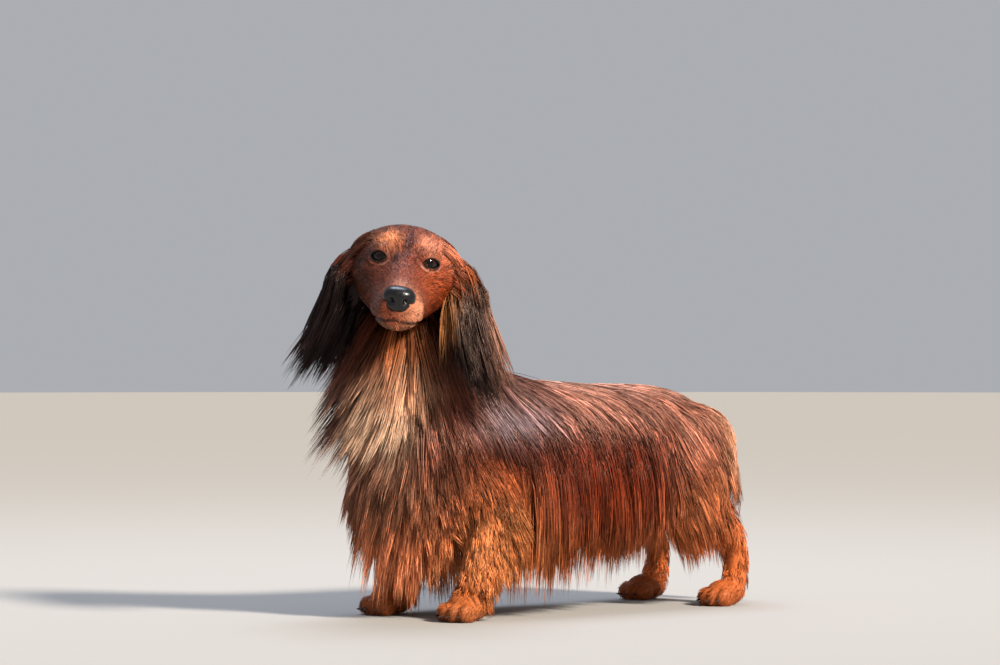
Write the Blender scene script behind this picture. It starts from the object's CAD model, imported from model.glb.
import math

import bmesh
import bpy
import numpy as np
from mathutils import Matrix, Vector
from mathutils.bvhtree import BVHTree
from mathutils.kdtree import KDTree


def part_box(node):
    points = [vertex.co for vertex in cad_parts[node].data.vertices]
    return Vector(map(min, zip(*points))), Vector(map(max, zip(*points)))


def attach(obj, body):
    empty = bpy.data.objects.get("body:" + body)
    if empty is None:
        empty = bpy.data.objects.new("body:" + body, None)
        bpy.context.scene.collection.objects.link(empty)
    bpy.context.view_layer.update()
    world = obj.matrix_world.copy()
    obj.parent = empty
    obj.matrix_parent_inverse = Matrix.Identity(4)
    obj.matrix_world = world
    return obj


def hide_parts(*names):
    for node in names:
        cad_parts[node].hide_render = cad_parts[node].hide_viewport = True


# The bench the dog is set up on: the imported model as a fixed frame. Everything is worked in
# millimetres in the dog's own frame, muzzle end towards -X, left side towards -Y, floor at 0,
# and ROOM carries it to the frame. HEAD is the turned head's frame, set between the eyes.
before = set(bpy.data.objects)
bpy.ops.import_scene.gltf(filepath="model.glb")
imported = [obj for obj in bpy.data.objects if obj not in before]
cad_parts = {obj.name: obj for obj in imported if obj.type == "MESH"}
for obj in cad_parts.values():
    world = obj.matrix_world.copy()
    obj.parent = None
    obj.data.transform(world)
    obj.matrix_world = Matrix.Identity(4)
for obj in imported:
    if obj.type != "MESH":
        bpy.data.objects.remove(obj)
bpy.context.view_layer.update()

MM = 0.001
EYE_MIDDLE = (-247, -74.5, 347)
HEAD_TURN, HEAD_NOD, HEAD_TIP = math.radians(50), math.radians(8), math.radians(8.4)
EYE_CENTRE = (2.0, 21.0, 0.0)


def head_frame():
    """Columns: out along the muzzle, to the dog's left, and up through the skull."""
    level = Vector((-math.cos(HEAD_TURN), -math.sin(HEAD_TURN), 0))
    left_level = Vector((math.sin(HEAD_TURN), -math.cos(HEAD_TURN), 0))
    forward = level * math.cos(HEAD_NOD) - Vector((0, 0, 1)) * math.sin(HEAD_NOD)
    up_level = Vector((0, 0, 1)) * math.cos(HEAD_NOD) + level * math.sin(HEAD_NOD)
    left = left_level * math.cos(HEAD_TIP) - up_level * math.sin(HEAD_TIP)
    up = up_level * math.cos(HEAD_TIP) + left_level * math.sin(HEAD_TIP)
    return Matrix.Translation(EYE_MIDDLE) @ Matrix((forward, left, up)).transposed().to_4x4()


HEAD = head_frame()
eye_low, eye_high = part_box("eye_left")
SHIFT = (eye_low + eye_high) / 2 - (HEAD @ Vector(EYE_CENTRE)) * MM
ROOM = Matrix.Translation(SHIFT) @ Matrix.Diagonal((MM, MM, MM, 1))
HEAD_TURNED = np.array(HEAD)[:3, :3]
HEAD_AT = np.array(HEAD)[:3, 3]


def to_head(points):
    return (points - HEAD_AT) @ HEAD_TURNED


def from_head(points):
    return points @ HEAD_TURNED.T + HEAD_AT


def to_room(points):
    return points * MM + np.array(SHIFT)


def places_of(mesh):
    """A mesh's points in the dog's millimetres."""
    co = np.zeros(len(mesh.vertices) * 3, np.float32)
    mesh.vertices.foreach_get("co", co)
    return (co.reshape(-1, 3).astype(float) - np.array(SHIFT)) / MM


# Flesh: trunk, neck, legs and tail, a taxidermist's form in shaped foam under the pelt. Each is
# drawn through a few measured sections, then all are run into one smooth body.
TRUNK_SECTIONS = (  # along, top, bottom, half width, share by which the top is wider
    (-215, 160, 154, 1, 0.0),
    (-208, 192, 116, 42, 0.0),
    (-188, 216, 96, 66, 0.0),
    (-155, 234, 86, 77, -0.04),
    (-115, 240, 84, 79, -0.04),
    (-60, 234, 86, 78, -0.04),
    (0, 229, 90, 76, -0.04),
    (60, 226, 98, 71, 0.0),
    (110, 225, 108, 67, 0.04),
    (152, 217, 114, 65, 0.04),
    (186, 197, 120, 48, 0.0),
    (202, 173, 134, 27, 0.0),
    (206, 158, 150, 1, 0.0),
)
NECK_SECTIONS = (  # middle x, y, z, half width, half depth
    (-122, 0, 162, 1, 1),
    (-130, 0, 184, 62, 62),
    (-152, 0, 222, 61, 63),
    (-172, -4, 258, 53, 54),
    (-189, -13, 296, 44, 45),
    (-200, -22, 330, 34, 36),
    (-203, -24, 340, 1, 1),
)
FORELEG_SECTIONS = (
    (-150, 44, 196, 1, 1),
    (-150, 50, 184, 24, 32),
    (-138, 59, 142, 26, 38),
    (-128, 64, 108, 25, 30),
    (-134, 64, 78, 20, 23),
    (-146, 62, 48, 17, 17),
    (-152, 60, 26, 17, 17),
    (-155, 60, 16, 1, 1),
)
HINDLEG_SECTIONS = (
    (152, 34, 200, 1, 1),
    (152, 40, 188, 24, 44),
    (146, 50, 148, 26, 50),
    (138, 56, 118, 24, 40),
    (150, 58, 96, 18, 27),
    (180, 60, 80, 13, 17),
    (195, 60, 62, 12.5, 13),
    (196, 60, 34, 12.5, 13),
    (192, 60, 18, 13, 15),
    (190, 60, 10, 1, 1),
)
TAIL_SECTIONS = (
    (182, 0, 202, 1, 1),
    (188, 0, 196, 12, 12),
    (205, 0, 177, 12, 11),
    (212, -2, 145, 10, 9),
    (216, -6, 112, 8.5, 8),
    (224, -11, 84, 7, 7),
    (231, -15, 62, 5, 5),
    (233, -16, 55, 1, 1),
)
FLESH_INSET = 1.5
FLESH_VOXEL = 3.4
FLESH_SMOOTHING = 8
LEFT, RIGHT = -1, 1
parts = {}
trees = {}


def smooth_row(rows, at):
    """The row of numbers at each place of `at`, 0 to 1 along a smooth line through all rows."""
    rows = np.array(rows, float)
    place = np.clip(np.asarray(at, float), 0, 1) * (len(rows) - 1)
    i = np.minimum(place.astype(int), len(rows) - 2)
    t = (place - i)[:, None]
    last = len(rows) - 1
    a, b, c, d = (rows[np.clip(i + k, 0, last)] for k in (-1, 0, 1, 2))
    return 0.5 * (2 * b + (c - a) * t + (2 * a - 5 * b + 4 * c - d) * t**2 + (3 * b - a - 3 * c + d) * t**3)


def unit(v):
    return v / np.maximum(np.linalg.norm(v, axis=-1, keepdims=True), 1e-9)


def tree_of(mesh):
    return BVHTree.FromPolygons(places_of(mesh).tolist(), [list(p.vertices) for p in mesh.polygons])


def set_down(bm, name, place=None):
    """A finished object from a bmesh in millimetres: its place in its mesh, faces outwards."""
    matrix = ROOM if place is None else ROOM @ place
    bmesh.ops.transform(bm, matrix=matrix, verts=bm.verts)
    bmesh.ops.recalc_face_normals(bm, faces=bm.faces)
    if bm.calc_volume(signed=True) < 0:
        bmesh.ops.reverse_faces(bm, faces=bm.faces)
    mesh = bpy.data.meshes.new(name)
    bm.to_mesh(mesh)
    bm.free()
    mesh.shade_smooth()
    obj = bpy.data.objects.new(name, mesh)
    bpy.context.scene.collection.objects.link(obj)
    return obj


def ball_grid(around, along):
    """A ball, with each point's place from pole to pole, 0 to 1, and its angle around."""
    bm = bmesh.new()
    bmesh.ops.create_uvsphere(bm, u_segments=around, v_segments=along, radius=1)
    bm.verts.ensure_lookup_table()
    co = np.array([v.co for v in bm.verts])
    return bm, np.arccos(np.clip(co[:, 2], -1, 1)) / math.pi, np.arctan2(co[:, 1], co[:, 0])


def set_places(bm, places):
    for vertex, place in zip(bm.verts, places):
        vertex.co = place


def drawn_trunk(sections, around, along):
    """The ball drawn out through upright sections. Returns its bmesh, places and middle line."""
    bm, at, angle = ball_grid(around, along)
    x, top, bottom, half, wider = smooth_row(sections, at).T
    y = half * np.cos(angle) * (1 + wider * np.sin(angle))
    z = (top + bottom) / 2 + (top - bottom) / 2 * np.sin(angle)
    return bm, np.stack([x, y, z], 1), np.stack([x, 0 * y, (top + bottom) / 2], 1)


def drawn_limb(sections, around, along, side=1):
    """The ball drawn out across a limb's path."""
    bm, at, angle = ball_grid(around, along)
    rows = smooth_row(sections, at)
    tangent = unit(smooth_row(sections, at + 0.02)[:, :3] - smooth_row(sections, at - 0.02)[:, :3])
    depth = unit(np.cross(tangent, np.broadcast_to((0.0, 1.0, 0.0), tangent.shape)))
    width = unit(np.cross(depth, tangent))
    half_width = np.maximum(rows[:, 3] - FLESH_INSET, 0)
    half_depth = np.maximum(rows[:, 4] - FLESH_INSET, 0)
    sideways = (half_width * np.cos(angle))[:, None]
    places = rows[:, :3] + width * sideways + depth * (half_depth * np.sin(angle))[:, None]
    places[:, 1] *= side
    return bm, places


def keep_part(name, bm, places, matrix=None):
    set_places(bm, places)
    parts[name] = set_down(bm, name, matrix)
    trees[name] = tree_of(parts[name].data)


bm, places, middle = drawn_trunk(TRUNK_SECTIONS, 72, 72)
keep_part("torso", bm, places - unit(places - middle) * FLESH_INSET)
keep_part("neck", *drawn_limb(NECK_SECTIONS, 64, 48))
keep_part("tail", *drawn_limb(TAIL_SECTIONS, 24, 48))
for side, side_name in ((LEFT, "left"), (RIGHT, "right")):
    keep_part("foreleg_" + side_name, *drawn_limb(FORELEG_SECTIONS, 36, 48, side))
    keep_part("hindleg_" + side_name, *drawn_limb(HINDLEG_SECTIONS, 36, 56, side))


def made_mesh(obj):
    """The object's mesh with its modifiers carried out, the object itself removed."""
    mesh = bpy.data.meshes.new_from_object(obj.evaluated_get(bpy.context.evaluated_depsgraph_get()))
    bpy.data.objects.remove(obj)
    return mesh


def run_together(name, names, voxel, smoothing):
    """Several closed forms melted into one skin without creases."""
    bm = bmesh.new()
    for part in names:
        bm.from_mesh(parts[part].data)
        bpy.data.objects.remove(parts.pop(part))
    mesh = bpy.data.meshes.new(name)
    bm.to_mesh(mesh)
    bm.free()
    obj = bpy.data.objects.new(name, mesh)
    bpy.context.scene.collection.objects.link(obj)
    melt = obj.modifiers.new("melt", "REMESH")
    melt.mode = "VOXEL"
    melt.voxel_size = voxel * MM
    sand = obj.modifiers.new("sand", "SMOOTH")
    sand.factor = 0.5
    sand.iterations = smoothing
    made = bpy.data.objects.new(name, made_mesh(obj))
    bpy.context.scene.collection.objects.link(made)
    return made


body = run_together("body", list(parts), FLESH_VOXEL, FLESH_SMOOTHING)

# Paws: a round pad with four arched toes in front of it, standing flat. The two middle toes
# reach further than the outer ones, and each carries a claw.
FORE_PAW = {"at": (-162, 60), "half": (23, 19, 15), "toe_reach": 16, "splay": math.radians(6)}
HIND_PAW = {"at": (178, 60), "half": (23, 17, 14), "toe_reach": 15, "splay": math.radians(4)}
TOE_HALF = (11.5, 5.9, 9.6)
TOE_SPACING = 10.0
TOE_PLACES = (-1.5, -0.5, 0.5, 1.5)
OUTER_TOE_SET_BACK = 5
PAW_VOXEL = 1.6
paw_places = {}


def rounded(name, centre, half, around=32, along=20, turn=None, place=None):
    """A ball pressed to three half sizes."""
    bm = bmesh.new()
    bmesh.ops.create_uvsphere(bm, u_segments=around, v_segments=along, radius=1)
    bmesh.ops.scale(bm, vec=half, verts=bm.verts)
    if turn is not None:
        bmesh.ops.transform(bm, matrix=turn, verts=bm.verts)
    bmesh.ops.translate(bm, vec=centre, verts=bm.verts)
    return set_down(bm, name, place)


def make_paw(name, shape, side):
    half_x, half_y, half_z = shape["half"]
    splay = Matrix.Rotation(-side * shape["splay"], 4, "Z")
    middle = Vector((shape["at"][0], shape["at"][1] * side, 0))
    pad_at = middle + splay @ Vector((4, 0, half_z - 1))
    parts["pad"] = rounded("pad", pad_at, (half_x - 1, half_y - 1, half_z - 1), turn=splay)
    names = ["pad"]
    paw_places[name] = []
    for k, off in enumerate(TOE_PLACES):
        forward = -shape["toe_reach"] + (0 if abs(off) < 1 else OUTER_TOE_SET_BACK)
        sideways = off * TOE_SPACING * half_y / FORE_PAW["half"][1]
        toe_at = middle + splay @ Vector((forward, sideways, TOE_HALF[2] - 1))
        parts[f"toe{k}"] = rounded("toe", toe_at, TOE_HALF, turn=splay)
        names.append(f"toe{k}")
        paw_places[name].append((middle, splay, forward, sideways))
    paw = run_together(name, names, PAW_VOXEL, 3)
    bm = bmesh.new()
    bm.from_mesh(paw.data)
    floor_cut = Vector((0, 0, SHIFT.z + 0.2 * MM))
    geometry = bm.verts[:] + bm.edges[:] + bm.faces[:]
    cut = bmesh.ops.bisect_plane(
        bm, geom=geometry, plane_co=floor_cut, plane_no=(0, 0, -1), clear_outer=True
    )
    edges = [g for g in cut["geom_cut"] if isinstance(g, bmesh.types.BMEdge)]
    bmesh.ops.edgeloop_fill(bm, edges=edges)
    bm.to_mesh(paw.data)
    bm.free()
    trees[name] = tree_of(paw.data)
    return paw


paws = [
    make_paw("paw_front_left", FORE_PAW, LEFT),
    make_paw("paw_front_right", FORE_PAW, RIGHT),
    make_paw("paw_hind_left", HIND_PAW, LEFT),
    make_paw("paw_hind_right", HIND_PAW, RIGHT),
]

# Head: a long narrow skull and muzzle under thin, close skin. It carries the brow folds, the
# stop and the furrow between the eyes, the cheeks, the lip line, and lids over the eyeballs.
HEAD_SECTIONS = (
    (-97, 0, -8, 1, 0.0),
    (-90, 14, -34, 30, 0.0),
    (-72, 22, -50, 43, 0.04),
    (-45, 26, -58, 50, 0.10),
    (-22, 24, -62, 49, 0.12),
    (-2, 17, -63, 41, 0.12),
    (12, 7, -62, 33.5, 0.04),
    (27, -2, -61, 27.5, -0.06),
    (46, -8, -59, 24, -0.12),
    (66, -12, -58, 22, -0.16),
    (82, -15, -57, 20.5, -0.14),
    (91, -18, -55, 17.5, -0.08),
    (96, -26, -52, 12.5, 0.0),
    (97.5, -38, -44, 1, 0.0),
)
# Swellings and hollows: along, side, up, height, and radius along, across and up
HEAD_FORMS = (
    (2, 25, 11, 3.6, 9, 9, 9),
    (13, 19, -3, -3.2, 9, 9, 9),
    (6, 34, -15, 2.0, 9, 9, 9),
    (-30, 44, -26, 2.6, 17, 17, 17),
    (34, 24, -16, -2.2, 12, 12, 12),
    (72, 20, -40, 1.8, 12, 12, 12),
    (-15, 0, 21, -2.4, 10, 6, 10),
    (3, 0, 12, -3.4, 12, 5, 9),
    (-35, 0, 27, -1.4, 16, 5, 9),
    (-8, 17, 19, 1.8, 12, 8, 9),
    (16, 12, 4, -1.6, 7, 4, 7),
    (90, 9, -46, 1.6, 7, 6, 6),
    (99, 0, -43, -1.6, 6, 1.6, 6),
    (84, 0, -13, 1.4, 8, 10, 6),
    (44, 16, -22, -1.2, 12, 6, 6),
)
EYE_RADIUS = 10.6
LID_RADIUS = 11.8
LID_BLEND = 2.2
BROW_FOLD = (16.8, 1.5, 1.6)  # distance from the eye, depth and width of the fold over it
UNDER_FOLD = (16.0, 0.9, 1.5)
MOUTH_CORNER = 14
MOUTH_HEIGHT = -48.0
MOUTH_PEAK = (1.8, 7.0)
MOUTH_GROOVE = (3.0, 1.5)


def mouth_height(side):
    """The lips' meeting line: a peak under the nose, then level to the corners."""
    return MOUTH_HEIGHT + MOUTH_PEAK[0] * np.exp(-((side / MOUTH_PEAK[1]) ** 2))


def step_up(v, low, high):
    t = np.clip((v - low) / (high - low), 0, 1)
    return t * t * (3 - 2 * t)


def bell(v, width):
    return np.exp(-((v / width) ** 2))


def shape_head(places, middle):
    """Works the swellings, lids, folds and lips into the drawn head."""
    for along, side, up, height, r_along, r_side, r_up in HEAD_FORMS:
        outward = unit(places - middle)
        for mirrored in {side, -side}:
            away = (places - (along, mirrored, up)) / (r_along, r_side, r_up)
            places = places + outward * (height * np.exp(-(away**2).sum(1)))[:, None]
    for side in (1, -1):
        centre = np.array((EYE_CENTRE[0], EYE_CENTRE[1] * side, EYE_CENTRE[2]))
        away = places - centre
        reach = np.linalg.norm(away, axis=1)
        lift = np.logaddexp(reach / LID_BLEND, LID_RADIUS / LID_BLEND) * LID_BLEND - reach
        front = step_up(away[:, 0], -9, -2)
        places = places + unit(away) * (lift * front * (reach < 22))[:, None]
        above = step_up(away[:, 2], 2, 8) * step_up(away[:, 0], -14, -6)
        below = step_up(-away[:, 2], 4, 9) * step_up(away[:, 0], -8, 0)
        reach = np.linalg.norm(places - centre, axis=1)
        fold = BROW_FOLD[1] * bell(reach - BROW_FOLD[0], BROW_FOLD[2]) * above
        fold += UNDER_FOLD[1] * bell(reach - UNDER_FOLD[0], UNDER_FOLD[2]) * below
        places = places - unit(places - middle) * fold[:, None]
    open_at = step_up(places[:, 0], MOUTH_CORNER, MOUTH_CORNER + 10)
    off = places[:, 2] - mouth_height(places[:, 1])
    lips = MOUTH_GROOVE[0] * bell(off, MOUTH_GROOVE[1]) - 0.9 * bell(off - 4.5, 3.0)
    return places - unit(places - middle) * (lips * open_at)[:, None]


def joined(obj, operation, others):
    """Unites obj with closed forms or cuts them out of it. The forms are used up."""
    tools = bpy.data.collections.new("tools")
    bpy.context.scene.collection.children.link(tools)
    for other in others:
        tools.objects.link(other)
    modifier = obj.modifiers.new("join", "BOOLEAN")
    modifier.operation = operation
    modifier.solver = "MANIFOLD"
    modifier.operand_type = "COLLECTION"
    modifier.collection = tools
    mesh = bpy.data.meshes.new_from_object(obj.evaluated_get(bpy.context.evaluated_depsgraph_get()))
    obj.modifiers.clear()
    obj.data = mesh
    for other in others:
        bpy.data.objects.remove(other)
    bpy.data.collections.remove(tools)
    return obj


bm, places, middle = drawn_trunk(HEAD_SECTIONS, 184, 200)
keep_part("head", bm, shape_head(places, middle), HEAD)
head = parts.pop("head")

# Eye openings: an almond slit in the lids of each side, with the corners drawn to a point and
# the socket behind it fitted round the eyeball.
EYE_TURN = math.radians(28)
EYE_SLIT = (8.6, 5.5, 4.3)  # half width, height above and height below the middle
SLIT_STEPS = 28
SOCKET_ROOM = 0.15


def almond(side, grow=0.0):
    """Points round the slit, seen from the front, in the eye's own frame: across and up."""
    half, above, below = EYE_SLIT
    sweep = np.linspace(-1, 1, SLIT_STEPS + 1)
    upper = [(-s * (half + grow), (above + grow) * (1 - abs(s) ** 1.8) + 1.1 * s) for s in sweep]
    lower = [(s * (half + grow), -(below + grow) * (1 - abs(s) ** 2.0) - 1.1 * s) for s in sweep]
    return [(y * side, z) for y, z in upper[:-1] + lower[:-1]]


for side in (1, -1):
    eye_frame = HEAD @ Matrix.Translation((EYE_CENTRE[0], EYE_CENTRE[1] * side, EYE_CENTRE[2]))
    eye_frame = eye_frame @ Matrix.Rotation(EYE_TURN * side, 4, "Z")
    bm = bmesh.new()
    ring = [bm.verts.new((4, y, z)) for y, z in almond(side)]
    face = bm.faces.new(ring)
    pushed = bmesh.ops.extrude_face_region(bm, geom=[face])["geom"]
    ends = [g for g in pushed if isinstance(g, bmesh.types.BMVert)]
    bmesh.ops.translate(bm, vec=(24, 0, 0), verts=ends)
    slit = set_down(bm, "slit", eye_frame)
    socket = rounded("socket", (0, 0, 0), (EYE_RADIUS + SOCKET_ROOM,) * 3, 56, 36, place=eye_frame)
    joined(head, "DIFFERENCE", [socket])
    joined(head, "DIFFERENCE", [slit])

# Ear leathers: thin drop ears set level with the eyes, folded at the root, cupped, and hung
# forward beside the cheeks. The long fringe is laid on them with the rest of the coat.
EAR_SECTIONS = (  # along, side and up in head directions, hung plumb; half width
    (-34, 34, -4, 1),
    (-36, 43, -3, 13),
    (-35, 53, -8, 19),
    (-32, 60, -20, 23),
    (-29, 63, -38, 25),
    (-26, 63, -57, 22),
    (-24, 61, -73, 14),
    (-23, 60, -84, 1),
)
EAR_DROP = 80
EAR_HALF_THICKNESS = 2.4
EAR_CUP = 6.0
EAR_OUTWARD = math.radians(44)
EAR_RIM_WIDTH = 12
ear_lines = {}


def ear_frame(side):
    """The ear's middle line with half widths, the way across it and the way out from the head."""
    rows = np.array(EAR_SECTIONS, float)
    root = from_head(rows[:1, :3] * (1, side, 1))[0]
    ahead = HEAD_TURNED @ (1, 0, 0)
    ahead = unit(np.array((ahead[0], ahead[1], 0)))
    outward = np.array((ahead[1], -ahead[0], 0)) * -side
    hung = rows[:, :3] - rows[0, :3]
    line = root + hung[:, :1] * ahead + hung[:, 1:2] * outward + hung[:, 2:3] * (0, 0, 1)
    across = -ahead * math.cos(EAR_OUTWARD) + outward * math.sin(EAR_OUTWARD)
    facing = ahead * math.sin(EAR_OUTWARD) + outward * math.cos(EAR_OUTWARD)
    return np.column_stack([line, rows[:, 3]]), across, facing


def make_ear(name, side):
    rows, across, facing = ear_frame(side)
    ear_lines[name] = (rows, across, facing)
    bm, at, angle = ball_grid(56, 52)
    row = smooth_row(rows, at)
    tangent = unit(smooth_row(rows, at + 0.03)[:, :3] - smooth_row(rows, at - 0.03)[:, :3])
    width_way = unit(across - tangent * (tangent @ across)[:, None])
    through = unit(np.cross(width_way, tangent))
    through = through * np.sign(through @ facing)[:, None]
    cup = EAR_CUP * np.cos(angle) ** 2 * np.sin(math.pi * at)
    half = EAR_HALF_THICKNESS * np.minimum(1, row[:, 3] / EAR_RIM_WIDTH)
    sideways = width_way * ((row[:, 3] - 2) * np.cos(angle))[:, None]
    places = row[:, :3] + sideways + through * (half * np.sin(angle) - cup)[:, None]
    keep_part(name, bm, places)
    return parts.pop(name)


ears = [make_ear("ear_left", 1), make_ear("ear_right", -1)]

# Pelt: one tanned skin over the whole form, without a seam, in the coat's own colours. Where
# the hair is short and close, as on the face and feet, its fine grain is raised in the skin.
skin = joined(body, "UNION", [head, *ears, *paws])
skin.name = "skin"
skin.data.shade_smooth()

# The markings: places on the trunk, then on the head, each with its reach along, across and up,
# its colour and how strongly it covers what lies under it
MAHOGANY, RED_BROWN, DEEP_RED, BRIGHT_RED = "#4a231b", "#6a2f1c", "#541e10", "#8a3617"
NEAR_BLACK, SOOT, DARK_BROWN, ORANGE = "#1c1214", "#120c0e", "#331a15", "#a04818"
BEIGE, SAND, TAN, PALE = "#e6bd92", "#c68f62", "#8c4f2e", "#e8cbb0"
BASE_COAT = MAHOGANY
BODY_MARKINGS = (
    ((50, 0, 236), (180, 90, 34), "#b08070", 0.95),
    ((-90, -10, 240), (50, 70, 24), "#54322e", 0.9),
    ((-150, 0, 258), (58, 120, 44), "#211516", 1.0),
    ((-168, -60, 272), (40, 60, 60), "#1c1213", 0.9),
    ((-168, 60, 272), (40, 60, 60), "#1c1213", 0.9),
    ((-120, -80, 204), (52, 60, 15), "#8e8088", 0.95),
    ((-120, 80, 204), (52, 60, 15), "#8e8088", 0.95),
    ((-135, -80, 176), (44, 60, 18), "#2e1d1c", 0.95),
    ((-135, 80, 176), (44, 60, 18), "#2e1d1c", 0.95),
    ((40, -80, 204), (110, 50, 18), "#ac7664", 0.85),
    ((20, -80, 150), (130, 50, 40), "#5c1e0a", 0.97),
    ((20, 80, 150), (130, 50, 40), "#5c1e0a", 0.97),
    ((-20, 0, 64), (150, 110, 42), "#cc6c30", 0.97),
    ((140, -60, 178), (46, 40, 36), "#a86c56", 0.9),
    ((140, 60, 178), (46, 40, 36), "#a86c56", 0.9),
    ((190, -34, 180), (24, 50, 60), "#f2b48e", 0.97),
    ((150, -70, 110), (50, 40, 36), "#b8704a", 0.9),
    ((150, 70, 110), (50, 40, 36), "#b8704a", 0.9),
    ((-132, -80, 142), (40, 40, 22), "#8c4222", 0.95),
    ((-132, 80, 142), (40, 40, 22), "#8c4222", 0.95),
    ((-165, -80, 110), (22, 30, 60), "#8c4828", 0.9),
    ((-135, 0, 60), (50, 130, 52), "#f09a5c", 1.0),
    ((-170, 0, 24), (30, 130, 26), "#b05c28", 0.9),
    ((185, 0, 40), (90, 130, 62), "#c86a34", 1.0),
    ((222, -10, 100), (26, 30, 60), "#a86040", 0.9),
    ((-196, 40, 190), (40, 60, 90), "#482824", 0.97),
    ((-205, 0, 140), (44, 80, 34), "#8c5c44", 0.9),
    ((-205, 0, 70), (50, 90, 40), "#d8845a", 0.97),
    ((-181, -50, 215), (26, 26, 60), "#7c4432", 0.85),
    ((-240, -12, 160), (30, 34, 30), "#a8745a", 0.8),
    ((-213, -30, 276), (20, 20, 18), "#d8742e", 0.9),
    ((-260, 14, 190), (24, 30, 40), "#7c5848", 0.95),
    ((-216, -30, 242), (22, 22, 22), "#f0b48c", 0.97),
    ((-232, -26, 208), (22, 26, 28), "#fad2b0", 0.98),
)
HEAD_MARKINGS = (
    ((-30, 0, 10), (60, 60, 50), "#7a3c28", 1.0),
    ((-60, 0, 10), (34, 60, 40), "#5a2a1c", 0.8),
    ((-14, -42, 6), (34, 22, 30), "#30160f", 0.95),
    ((-12, -34, 18), (26, 14, 20), "#2a130c", 0.9),
    ((-20, 38, 6), (28, 18, 22), "#b46c50", 0.8),
    ((40, 0, -20), (50, 34, 40), "#6c3422", 0.9),
    ((0, 34, -28), (34, 26, 26), "#9a421c", 0.85),
    ((0, -36, -24), (36, 26, 30), "#4c2418", 0.9),
    ((-4, 22, 18), (18, 11, 10), "#cc8466", 0.85),
    ((-6, -18, 18), (18, 11, 10), "#e08a58", 0.9),
    ((-6, 1, 16), (44, 4.5, 14), "#3a1610", 0.9),
    ((14, 8, 0), (14, 7, 9), "#4a2018", 0.8),
    ((14, -9, 0), (14, 7, 9), "#2c1410", 0.85),
    ((50, 0, -8), (30, 12, 8), "#6e3626", 0.7),
    ((78, 0, -10), (14, 14, 7), "#b07c68", 0.7),
    ((82, 18, -36), (24, 14, 16), "#cc8a68", 0.85),
    ((84, -18, -40), (22, 14, 18), "#5e3426", 0.9),
    ((92, 0, -57), (20, 20, 6), "#8a5a3c", 0.9),
)
EAR_MARKINGS = (
    ((-36, 46, 0), (18, 18, 18), "#b4602c", 0.95),
    ((-12, 42, -36), (9, 9, 26), "#d89058", 0.9),
    ((-36, -46, 4), (20, 18, 16), "#3a1c14", 0.8),
    ((-44, 90, -34), (30, 10, 44), "#c8927c", 0.95),
    ((-44, 104, -84), (30, 11, 40), "#a87660", 0.85),
    ((-26, -94, -60), (30, 14, 60), "#705458", 0.8),
)
LIP_COLOUR = "#150c0c"
LID_RIM_COLOUR = "#0d090a"
UNDER_LID_COLOUR = "#c0a098"


def linear(colour):
    """sRGB hex to linear light."""
    parts_of_one = np.array([int(colour[i : i + 2], 16) / 255 for i in (1, 3, 5)])
    return np.where(parts_of_one <= 0.04045, parts_of_one / 12.92, ((parts_of_one + 0.055) / 1.055) ** 2.4)


def laid_over(colours, points, rows):
    for centre, reach, colour, cover in rows:
        share = cover * np.exp(-(((points - centre) / reach) ** 2).sum(1))
        colours = colours + (linear(colour) - colours) * share[:, None]
    return colours


def markings(points, kind):
    """The coat's colour at each place, for trunk and limbs, the head, or the ears."""
    colours = np.tile(linear(BASE_COAT), (len(points), 1))
    colours = laid_over(colours, points, BODY_MARKINGS)
    local = to_head(points)
    on_face = laid_over(np.tile(linear(RED_BROWN), (len(points), 1)), local, HEAD_MARKINGS)
    on_ear = laid_over(np.tile(linear(SOOT), (len(points), 1)), local, EAR_MARKINGS)
    colours = np.where((kind == 1)[:, None], on_face, colours)
    return np.where((kind == 2)[:, None], on_ear, colours)


def kind_of(points, reach=6.0):
    """1 on the head, 2 on an ear, 0 elsewhere, by which form a point lies nearest to."""
    kinds = np.zeros(len(points), int)
    for i, point in enumerate(points.tolist()):
        spans = [trees[n].find_nearest(point, reach)[3] for n in ("head", "ear_left", "ear_right")]
        spans = [reach if s is None else s for s in spans]
        nearest = min(spans)
        if nearest < reach:
            kinds[i] = 1 if spans[0] == nearest else 2
    return kinds


skin_places = places_of(skin.data)
skin_kinds = kind_of(skin_places)
skin_colours = markings(skin_places, skin_kinds)
local = to_head(skin_places)
on_head = skin_kinds == 1
lip = bell(local[:, 2] - mouth_height(local[:, 1]), 1.5) * step_up(local[:, 0], MOUTH_CORNER, MOUTH_CORNER + 4)
rim, under_lid = np.zeros((2, len(local)))
for side in (1, -1):
    away = local - (EYE_CENTRE[0], EYE_CENTRE[1] * side, EYE_CENTRE[2])
    turned = away @ np.array(Matrix.Rotation(EYE_TURN * side, 3, "Z"))
    out = ((turned[:, 1] / (EYE_SLIT[0] + 0.9)) ** 2 + (turned[:, 2] / (EYE_SLIT[1] + 0.6)) ** 2) ** 0.5
    rim = np.maximum(rim, (1 - step_up(out, 0.94, 1.12)) * (turned[:, 0] > 0))
    under_lid = np.maximum(under_lid, bell(out - 1.2, 0.08) * (turned[:, 0] > 0) * (turned[:, 2] < -2))
skin_colours += (linear(LIP_COLOUR) - skin_colours) * (lip * on_head)[:, None]
skin_colours += (linear(UNDER_LID_COLOUR) - skin_colours) * (under_lid * 0.4 * on_head)[:, None]
skin_colours += (linear(LID_RIM_COLOUR) - skin_colours) * (rim * on_head)[:, None]


def colour_points(mesh, colours):
    """Puts the colours on the mesh's points."""
    layer = mesh.color_attributes.new("coat_colour", "FLOAT_COLOR", "POINT")
    rgba = np.ones((len(colours), 4), np.float32)
    rgba[:, :3] = colours
    layer.data.foreach_set("color", rgba.ravel())


colour_points(skin.data, skin_colours)
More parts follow.
